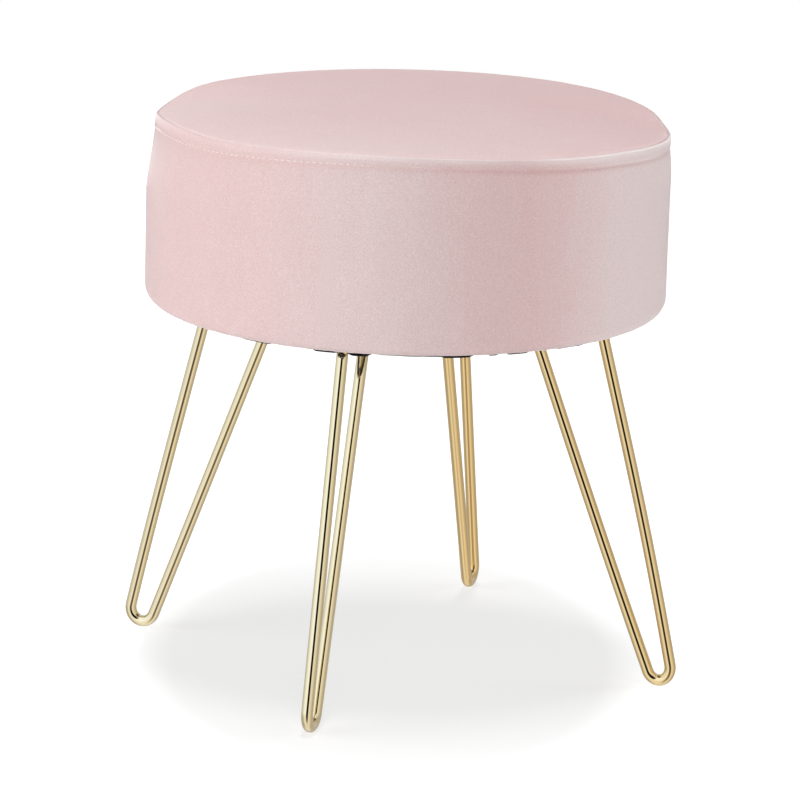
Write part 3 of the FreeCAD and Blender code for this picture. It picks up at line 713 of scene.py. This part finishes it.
def rod_path(name):
    """Centreline of the leg over +X, as pairs of radius and height, from the outer end to the inner one."""
    outer = Vector((PLATE_MIDDLE + ROD_SPACING / 2, PLATE_TOP))
    inner = Vector((PLATE_MIDDLE - ROD_SPACING / 2, PLATE_TOP))
    outer_touch, outer_angle = touch_point(outer, -1)
    inner_touch, inner_angle = touch_point(inner, 1)
    path = [outer.lerp(outer_touch, step / STRAIGHT_STEPS) for step in range(STRAIGHT_STEPS)]
    for step in range(BEND_STEPS + 1):
        angle = mix(outer_angle, inner_angle - 2 * math.pi, step / BEND_STEPS)
        path.append(BEND_CENTRE + BEND_RADIUS * Vector((math.cos(angle), math.sin(angle))))
    path += [inner_touch.lerp(inner, step / STRAIGHT_STEPS) for step in range(1, STRAIGHT_STEPS + 1)]
    return bent(path, name)


def make_rod(name, path, turned):
    """Rings round a path in the XZ plane, closed by a cap at each end and cut level below the leg plate."""
    vertices = []
    for index, place in enumerate(path):
        before = path[max(0, index - 1)]
        after = path[min(len(path) - 1, index + 1)]
        along = (after - before).normalized()
        across = Vector((-along.y, along.x))
        for side in range(ROD_SIDES):
            angle = 2 * math.pi * side / ROD_SIDES
            flat = place + across * ROD_RADIUS * math.cos(angle)
            corner = turned @ Vector((flat.x, ROD_RADIUS * math.sin(angle), flat.y))
            corner.z = min(corner.z, PLATE_UNDERSIDE - PLATE_CLEARANCE)
            vertices.append(corner)
    faces = ring_faces(len(path), ROD_SIDES)
    last_ring = (len(path) - 1) * ROD_SIDES
    caps = [tuple(reversed(range(ROD_SIDES))), tuple(range(last_ring, last_ring + ROD_SIDES))]
    rod = new_object(f"rod_{name}", vertices, faces + caps, [MATERIALS["gold_plate"]])
    rod.data.polygons[-1].use_smooth = False
    rod.data.polygons[-2].use_smooth = False
    store_values(rod, deep_plating=[DEEPER_PLATING.get(name, 0.0)] * len(vertices))
    return rod


def add_weld(vertices, faces, end, touch, turned):
    """A rippled bead round the rod from end to touch, where it meets the plate's underside."""
    down = (touch - end).normalized()
    centre = end + down * ((end.y - PLATE_UNDERSIDE) / -down.y)
    start = len(vertices)
    for turn in range(WELD_TURNS):
        around = 2 * math.pi * turn / WELD_TURNS
        ripple = 1 + 0.12 * math.sin(around * 11 + end.x * 900)
        for side in range(WELD_SIDES):
            angle = 2 * math.pi * side / WELD_SIDES
            reach = ROD_RADIUS * 1.02 + WELD_RADIUS * ripple * 0.55 * math.cos(angle)
            drop = WELD_RADIUS * ripple * 0.75 * (math.sin(angle) - 0.55)
            height = min(PLATE_UNDERSIDE - PLATE_CLEARANCE, PLATE_UNDERSIDE + drop)
            vertices.append(turned @ Vector((centre.x + reach * math.cos(around),
                                             reach * math.sin(around), height)))
    grid = ring_faces(WELD_TURNS, WELD_SIDES, True)
    faces += [tuple(start + index for index in reversed(face)) for face in grid]


def make_leg(name, azimuth):
    """One hairpin leg and the two weld beads that hold it to its plate."""
    turned = Matrix.Rotation(azimuth, 4, "Z")
    path = rod_path(name)
    rod = make_rod(name, path, turned)
    vertices, faces = [], []
    add_weld(vertices, faces, path[0], path[1], turned)
    add_weld(vertices, faces, path[-1], path[-2], turned)
    weld = new_object(f"weld_{name}", vertices, faces, [MATERIALS["gold_plate"]])
    return rod, weld


# Black cloth under the seat

CLOTH_EDGE = cloth_high[0]
CLOTH_THICKNESS = 0.4 * MM
CLOTH_ROWS = 44
CLOTH_COLUMNS = 480
CLOTH_SAG = 1.6 * MM
CLOTH_RUMPLE = 0.35 * MM
CLOTH_RAGGED = 0.5 * MM
HEM_STEP_WIDTH = 2.4 * MM
PLATE_LENGTH = plate_high[0] - plate_low[0]
PLATE_WIDTH = plate_high[1] - plate_low[1]


# Where the cloth's edge has worked loose below the hem: middle and half width in degrees to the right, and mm
LOOSE_EDGE = [(-36, 4.5, 1.2), (-18, 3.0, 1.3), (-10, 2.4, 2.0), (2, 8.0, 0.8), (12.3, 3.6, 1.7),
              (20.8, 1.2, 1.1), (27, 2.9, 1.3), (42, 5.0, 1.0), (59.5, 4.5, 1.7), (69, 5.0, 1.2),
              (118, 5.0, 1.6), (151, 4.0, 1.2), (-84, 4.0, 1.1), (-122, 5.0, 1.6), (-160, 6.0, 1.1)]


def plate_distance(x, y):
    """How far a point of the cloth lies from the nearest leg plate."""
    nearest = 1.0
    for turn in range(4):
        angle = turn * math.pi / 2
        along = x * math.cos(angle) + y * math.sin(angle)
        aside = -x * math.sin(angle) + y * math.cos(angle)
        dx = max(0.0, abs(along - PLATE_MIDDLE) - PLATE_LENGTH / 2)
        dy = max(0.0, abs(aside) - PLATE_WIDTH / 2)
        nearest = min(nearest, math.hypot(dx, dy))
    return nearest


def cloth_height(radius, azimuth):
    """Underside of the cloth: pressed flat by the plates, slack between them, stepped over the hem."""
    x, y = radius * math.cos(azimuth), radius * math.sin(azimuth)
    flat = board_low[2] - 0.3 * MM
    ring = cloth_low[2] + 0.5 * MM
    height = mix(flat, ring, smooth((radius - HEM_INNER + HEM_STEP_WIDTH) / HEM_STEP_WIDTH))
    free = smooth(plate_distance(x, y) / (12 * MM))
    sag = 0.5 + 0.5 * soft_noise((x, y, 0.0), 16.0, 11)
    height -= CLOTH_SAG * sag * free * smooth((CLOTH_EDGE - radius) / (25 * MM))
    height -= CLOTH_RUMPLE * free * soft_noise((x, y, 0.0), 60.0, 12)
    facing = (facing_degrees(azimuth) + 180) % 360 - 180
    hang = 0.0
    for middle, half, depth in LOOSE_EDGE:
        away = abs(facing - middle) / half
        hang = max(hang, depth * smooth(2.2 * (1.2 - away)))
    return height - hang * MM * smooth((radius - 156.5 * MM) / (6.5 * MM))


def make_cloth():
    """The black cloth as one thin closed sheet with a slightly ragged edge."""
    columns = CLOTH_COLUMNS
    vertices = [(0.0, 0.0, cloth_height(0.0, 0.0))]
    under, over = [], []
    for row in range(1, CLOTH_ROWS + 1):
        share = 1 - (1 - row / CLOTH_ROWS) ** 1.3
        for column in range(columns):
            azimuth = 2 * math.pi * column / columns
            ragged = CLOTH_RAGGED * soft_noise((math.cos(azimuth), math.sin(azimuth), 0.0), 30.0, 14)
            radius = (CLOTH_EDGE + ragged * (row == CLOTH_ROWS)) * share
            height = cloth_height(radius, azimuth)
            under.append((radius * math.cos(azimuth), radius * math.sin(azimuth), height))
            over.append((radius * math.cos(azimuth), radius * math.sin(azimuth), height + CLOTH_THICKNESS))
    vertices += under
    first_over = len(vertices)
    vertices += over
    vertices.append((0.0, 0.0, cloth_height(0.0, 0.0) + CLOTH_THICKNESS))
    faces = [(0, 1 + (column + 1) % columns, 1 + column) for column in range(columns)]
    grid = ring_faces(CLOTH_ROWS, columns)
    faces += [tuple(1 + index for index in face) for face in grid]
    faces += [tuple(first_over + index for index in reversed(face)) for face in grid]
    last = len(vertices) - 1
    faces += [(last, first_over + column, first_over + (column + 1) % columns) for column in range(columns)]
    edge_under = 1 + (CLOTH_ROWS - 1) * columns
    edge_over = first_over + (CLOTH_ROWS - 1) * columns
    for column in range(columns):
        beside = (column + 1) % columns
        faces.append((edge_under + column, edge_under + beside, edge_over + beside, edge_over + column))
    return new_object("black_underside", vertices, faces, [MATERIALS["black_cloth"]])


side = make_side()
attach(side, "root")
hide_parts("side_cover", "side_wadding")

top = make_top()
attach(top, "root")
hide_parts("top_cover", "seat_foam")

stitches = make_stitches()
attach(stitches, "root")
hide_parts("topstitch")

cloth = make_cloth()
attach(cloth, "root")
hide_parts("dust_cover")

for leg_name, leg_azimuth in (("right", 0), ("back", 90), ("left", 180), ("front", 270)):
    rod, weld = make_leg(leg_name, math.radians(leg_azimuth))
    for piece in (rod, weld):
        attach(piece, "root")
    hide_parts(f"leg_{leg_name}")


# Floor, lights and camera

WORLD_LIGHT = 0.10
FLOOR_DIFFUSE = (0.42, 0.42, 0.42)
FLOOR_BOUNCE = (0.75, 0.74, 0.74)
FLOOR_GLOW = 0.675
FLOOR_GLOW_OUTSIDE = 0.895
FLOOR_REACH = 2.4
FLOOR_SIDES = 96

# The painted shadow, a grey oval under the stool: half its width and depth, seen from the camera, then its
# shift to the left and the start and end of its soft edge, as shares of them
SHADOW_REACH = (0.196, 0.335)
SHADOW_SHIFT = 0.025
SHADOW_FADE = (0.78, 1.0)

LAMP_AIM = Vector((0.0, 0.0, 0.3))
# Name, degrees to the right of the camera, elevation, distance, width and height, and power
LAMPS = [
    ("left_window", -80, 6, 2.4, (1.6, 0.8), 33.0),
    ("front", 0, 5, 2.8, (1.2, 0.8), 27.5),
    ("right_front", 50, 6, 2.6, (1.2, 0.8), 6.0),
    ("right", 100, 6, 2.4, (1.2, 0.8), 19.5),
]
OVERHEAD_SIZE = (0.35, 1.7)
OVERHEAD_HEIGHT = 3.5
OVERHEAD_POWER = 70.0


def diffuse(shader, colour):
    node = shader.node("ShaderNodeBsdfDiffuse")
    node.inputs["Color"].default_value = (*colour, 1.0)
    return node.outputs[0]


def floor_glow(shader):
    """The floor's own light: weaker in an oval under the stool, a painted shadow, which lies along the
    camera's view.
    """
    turned = shader.node("ShaderNodeMapping")
    turned.inputs["Rotation"].default_value = (0.0, 0.0, -VIEW_AZIMUTH)
    shader.join(shader.place(), turned.inputs["Vector"])
    oval = shader.node("ShaderNodeMapping")
    oval.inputs["Scale"].default_value = (1 / SHADOW_REACH[0], 1 / SHADOW_REACH[1], 1.0)
    oval.inputs["Location"].default_value = (SHADOW_SHIFT, 0.0, 0.0)
    shader.join(turned.outputs["Vector"], oval.inputs["Vector"])
    outward = shader.node("ShaderNodeVectorMath", operation="LENGTH")
    shader.join(oval.outputs["Vector"], outward.inputs[0])
    glow = shader.node("ShaderNodeEmission")
    strength = shader.span(outward.outputs["Value"], *SHADOW_FADE, FLOOR_GLOW, FLOOR_GLOW_OUTSIDE)
    shader.join(strength, glow.inputs["Strength"])
    return glow.outputs[0]


def make_floor():
    """White sweep. Its shaded part keeps the stool's cast shadow, its own light brings it up to white, and
    that light is weaker in an oval under the stool, a painted shadow.
    """
    shader = Shader("floor_white")
    ray = shader.node("ShaderNodeLightPath")
    shown = shader.maths("MAXIMUM", ray.outputs["Is Camera Ray"], ray.outputs["Is Transmission Ray"])
    lifted = shader.node("ShaderNodeAddShader")
    shader.join(diffuse(shader, FLOOR_DIFFUSE), lifted.inputs[0])
    shader.join(floor_glow(shader), lifted.inputs[1])
    choice = shader.node("ShaderNodeMixShader")
    shader.join(shown, choice.inputs[0])
    shader.join(diffuse(shader, FLOOR_BOUNCE), choice.inputs[1])
    shader.join(lifted.outputs[0], choice.inputs[2])
    shader.join(choice.outputs[0], shader.output.inputs["Surface"])
    turns = [2 * math.pi * step / FLOOR_SIDES for step in range(FLOOR_SIDES)]
    corners = [(FLOOR_REACH * math.cos(turn), FLOOR_REACH * math.sin(turn), 0.0) for turn in turns]
    floor = new_object("floor", corners, [tuple(range(FLOOR_SIDES))], [shader.material], smooth_shading=False)
    floor.location.z = -0.0002
    floor.visible_glossy = False


# What polished metal mirrors: bright panels at both sides and a dark gap at the camera. Each key of the walls
# and of the ground is degrees to the right of the camera and a colour. Each key of the gap is a direction's
# height, from -1 below to 1 above, and how bright the gap is there.
WALLS = [(-180, (0.60, 0.62, 0.66)), (-130, (0.65, 0.70, 0.78)), (-95, (0.80, 0.88, 0.98)),
         (-60, (1.00, 1.10, 1.26)), (-35, (1.05, 1.18, 1.36)), (-24, (1.00, 1.10, 1.22)),
         (22, (0.90, 0.93, 0.90)), (40, (0.86, 0.85, 0.80)), (65, (0.70, 0.67, 0.62)),
         (90, (0.46, 0.44, 0.43)), (130, (0.52, 0.50, 0.50)), (180, (0.60, 0.62, 0.66))]
GROUND = [(-180, (0.55, 0.55, 0.55)), (-120, (0.50, 0.50, 0.50)), (-90, (0.40, 0.40, 0.40)),
          (-60, (0.80, 0.80, 0.80)), (-40, (0.95, 0.95, 0.94)), (-24, (0.88, 0.86, 0.82)),
          (22, (0.85, 0.82, 0.76)), (38, (0.92, 0.88, 0.80)), (60, (0.75, 0.71, 0.64)),
          (90, (0.48, 0.46, 0.44)), (130, (0.50, 0.50, 0.50)), (180, (0.55, 0.55, 0.55))]
GAP = [(-0.90, 0.80), (-0.80, 0.62), (-0.64, 0.34), (-0.50, 0.17), (-0.42, 0.12), (-0.20, 0.05),
       (-0.10, 0.02), (-0.02, 0.008), (0.60, 0.008), (0.80, 0.70)]


def make_world():
    """White for the camera, a studio's panels for reflections, and a plain soft light for everything else."""
    world = bpy.data.worlds.new("studio")
    bpy.context.scene.world = world
    world.use_nodes = True
    shader = NodeTree(world.node_tree)
    turned = shader.node("ShaderNodeMapping")
    turned.inputs["Rotation"].default_value = (0.0, 0.0, math.pi / 2 - VIEW_AZIMUTH)
    shader.join(shader.node("ShaderNodeTexCoord").outputs["Generated"], turned.inputs["Vector"])
    split = shader.node("ShaderNodeSeparateXYZ")
    shader.join(turned.outputs["Vector"], split.inputs["Vector"])
    ahead, aside, height = split.outputs
    facing = shader.maths("ARCTAN2", aside, ahead)
    turn = shader.span(facing, -math.pi, math.pi)
    walls = shader.ramp(turn, [((degrees + 180) / 360, tone) for degrees, tone in WALLS])
    ground = shader.ramp(turn, [((degrees + 180) / 360, tone) for degrees, tone in GROUND])
    ground = shader.blend(shader.span(height, -0.80, -0.97), ground, (0.84, 0.84, 0.84))
    walls = shader.blend(shader.span(height, 0.80, 0.97), walls, (0.95, 0.95, 0.95))
    panels = shader.blend(shader.span(height, -0.30, 0.05), ground, walls)
    dark = shader.ramp(shader.span(height, -1.0, 1.0), [((z + 1) / 2, (tone,) * 3) for z, tone in GAP])
    left_edge = shader.span(facing, math.radians(-24), math.radians(-17))
    right_edge = shader.span(facing, math.radians(23), math.radians(15))
    inside = shader.maths("MULTIPLY", left_edge, right_edge)
    mirrored = shader.blend(inside, panels, dark)
    ray = shader.node("ShaderNodeLightPath")
    seen = shader.maths("MAXIMUM", ray.outputs["Is Camera Ray"], ray.outputs["Is Transmission Ray"])
    tone = shader.blend(ray.outputs["Is Glossy Ray"], (WORLD_LIGHT,) * 3, mirrored)
    tone = shader.blend(seen, tone, (1.0, 1.0, 1.0))
    shader.join(tone, shader.tree.nodes["Background"].inputs["Color"])


def toward(facing, elevation, distance, aim):
    """A place seen from aim: facing degrees to the right of the camera, at an elevation."""
    azimuth = VIEW_AZIMUTH + math.radians(facing)
    elevation = math.radians(elevation)
    return aim + distance * Vector((math.sin(azimuth) * math.cos(elevation),
                                    -math.cos(azimuth) * math.cos(elevation), math.sin(elevation)))


def new_lamp(name, size, power):
    """A rectangular soft light, which polished metal doesn't mirror as a shape of its own."""
    lamp = bpy.data.lights.new(name, "AREA")
    lamp.shape = "RECTANGLE"
    lamp.size, lamp.size_y = size
    lamp.energy = power
    holder = bpy.data.objects.new(name, lamp)
    bpy.context.scene.collection.objects.link(holder)
    holder.visible_glossy = False
    return holder


def add_lamps():
    """Soft lights round the stool and one long one above it."""
    for name, facing, elevation, distance, size, power in LAMPS:
        holder = new_lamp(name, size, power)
        holder.location = toward(facing, elevation, distance, LAMP_AIM)
        holder.rotation_euler = (LAMP_AIM - holder.location).to_track_quat("-Z", "Y").to_euler()
    holder = new_lamp("overhead", OVERHEAD_SIZE, OVERHEAD_POWER)
    holder.location = (0.0, 0.0, OVERHEAD_HEIGHT)
    holder.rotation_euler = (0.0, 0.0, VIEW_AZIMUTH)


make_floor()
make_world()
add_lamps()


def make_camera():
    """The photographer's camera, with the slight roll that it had."""
    camera = bpy.data.cameras.new("camera")
    camera.sensor_width = SENSOR
    camera.lens = LENS
    camera.clip_end = 100.0
    holder = bpy.data.objects.new("camera", camera)
    bpy.context.scene.collection.objects.link(holder)
    back = toward(0, math.degrees(VIEW_ELEVATION), 1.0, Vector())
    right = (-back).cross(Vector((0, 0, 1))).normalized()
    up = right.cross(-back)
    place = Vector((0, 0, VIEW_HEIGHT)) + back * VIEW_DISTANCE + right * VIEW_SIDESTEP
    rolled_right = right * math.cos(VIEW_ROLL) + up * math.sin(VIEW_ROLL)
    rolled_up = up * math.cos(VIEW_ROLL) - right * math.sin(VIEW_ROLL)
    turn = Matrix((rolled_right, rolled_up, back)).transposed().to_4x4()
    holder.matrix_world = Matrix.Translation(place) @ turn
    bpy.context.scene.camera = holder


make_camera()
bpy.context.scene.view_settings.view_transform = "Standard"
